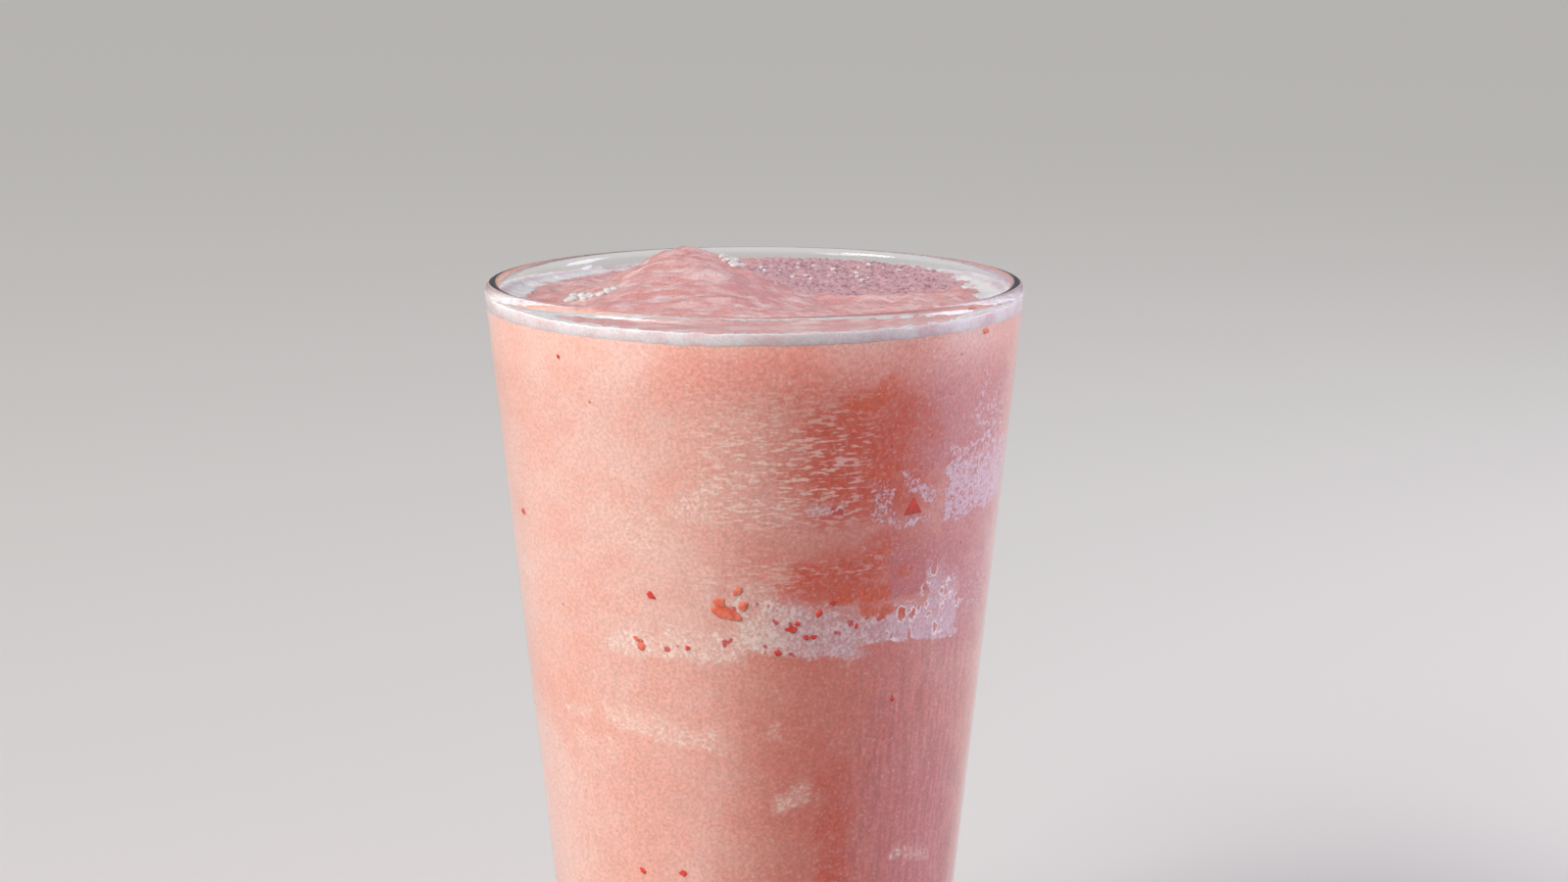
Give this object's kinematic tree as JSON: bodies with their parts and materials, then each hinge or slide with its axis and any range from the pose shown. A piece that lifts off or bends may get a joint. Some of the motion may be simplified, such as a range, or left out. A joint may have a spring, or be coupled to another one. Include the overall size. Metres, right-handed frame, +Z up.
{
  "type": "frozen strawberry lemonade",
  "caption": "Frozen strawberry lemonade, a pink icy slush with a soft peak and a ring of pale froth, filling a plain tapered drinking glass almost to its lip.",
  "frame": {"origin": "centre of the foot, on the surface that the glass stands on", "axes": "+Z up along the axis of the glass; -Y towards the viewer of the picture, so the soft peak lies at -X and +Y"},
  "size_m": [0.0888, 0.0888, 0.1531],
  "materials": {
    "glass": "clear, polished, without tint",
    "strawberry_slush": "wet, finely grained ice slush, peach pink with coral depths, frosty patches and small red fruit flecks",
    "froth": "fine, wet, almost white froth with a pink cast"
  },
  "bodies": {
    "root": {"glass": "glass", "frozen_lemonade": "strawberry_slush", "froth_ring": "froth"}
  },
  "joints": []
}
